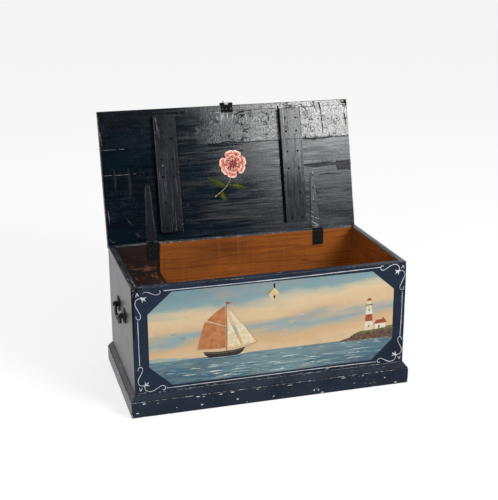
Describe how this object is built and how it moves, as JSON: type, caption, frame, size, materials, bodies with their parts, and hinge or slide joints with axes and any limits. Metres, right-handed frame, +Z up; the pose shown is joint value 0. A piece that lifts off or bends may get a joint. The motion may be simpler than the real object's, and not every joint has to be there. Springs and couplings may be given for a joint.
{
  "type": "sea chest",
  "caption": "Painted pine sea chest with a nailed plinth, a battened lid on strap hinges, a hasp and lock, a till and bail handles on the ends.",
  "frame": {"origin": "centre of the carcase's footprint, on the surface that the chest stands on", "axes": "+X to the right and +Y to the back as seen from in front, +Z up"},
  "size_m": [0.963, 0.6509, 0.8891],
  "materials": {
    "painted_pine": "old dark blue oil paint, worn at the edges",
    "bare_pine": "bare aged pine",
    "black_iron": "black painted wrought iron",
    "lock_iron": "dull unpainted iron",
    "nail_iron": "dark cut nails"
  },
  "bodies": {
    "chest": {"front_board": "painted_pine", "back_board": "painted_pine", "left_end_board": "painted_pine", "right_end_board": "painted_pine", "bottom_board_1": "bare_pine", "bottom_board_2": "bare_pine", "bottom_board_3": "bare_pine", "plinth_front": "painted_pine", "plinth_back": "painted_pine", "plinth_left": "painted_pine", "plinth_right": "painted_pine", "till_floor": "bare_pine", "plinth_nails": "nail_iron", "bottom_nails": "nail_iron", "hinge_leaf_left": "black_iron", "hinge_leaf_right": "black_iron", "hinge_leaf_nails": "nail_iron", "hinge_pin_left": "black_iron", "hinge_pin_right": "black_iron", "lock_case": "lock_iron", "lock_bolt_guide": "lock_iron", "lock_spring": "lock_iron", "lock_key_pin": "lock_iron", "lock_nails": "nail_iron", "handle_plate_left_front": "black_iron", "handle_plate_left_back": "black_iron", "handle_plate_right_front": "black_iron", "handle_plate_right_back": "black_iron", "handle_nails": "nail_iron"},
    "lid": {"lid_front_strip": "painted_pine", "lid_left_strip": "painted_pine", "lid_right_strip": "painted_pine", "lid_plank_front": "painted_pine", "lid_plank_middle": "painted_pine", "lid_plank_back": "painted_pine", "lid_batten_left": "painted_pine", "lid_batten_right": "painted_pine", "batten_nails": "nail_iron", "lid_strip_nails": "nail_iron", "hinge_strap_left": "black_iron", "hinge_strap_right": "black_iron", "hinge_strap_nails": "nail_iron", "hasp_plate": "black_iron", "hasp_plate_nails": "nail_iron", "hasp_pin": "black_iron"},
    "hasp": {"hasp": "black_iron", "hasp_staple": "black_iron"},
    "left_bail": {"handle_bail_left": "black_iron"},
    "right_bail": {"handle_bail_right": "black_iron"},
    "lock_bolt": {"lock_bolt": "lock_iron"}
  },
  "joints": [
    {"name": "lid_hinge", "type": "hinge", "parent": "chest", "child": "lid", "pos_m": [0, 0.233, 0.4323], "axis": [1, 0, 0], "range_deg": [0, 104.3]},
    {"name": "hasp_hinge", "type": "hinge", "parent": "lid", "child": "hasp", "pos_m": [0.002, 0.35344, 0.88456], "axis": [1, 0, 0], "range_deg": [0, 201.8]},
    {"name": "left_handle_swing", "type": "hinge", "parent": "chest", "child": "left_bail", "pos_m": [-0.473, -0.025, 0.29], "axis": [0, 1, 0], "range_deg": [-8, 188]},
    {"name": "right_handle_swing", "type": "hinge", "parent": "chest", "child": "right_bail", "pos_m": [0.473, -0.025, 0.29], "axis": [0, -1, 0], "range_deg": [-8, 188]},
    {"name": "bolt_slide", "type": "slide", "parent": "chest", "child": "lock_bolt", "axis": [-1, 0, 0], "range_m": [0, 0.012]}
  ]
}
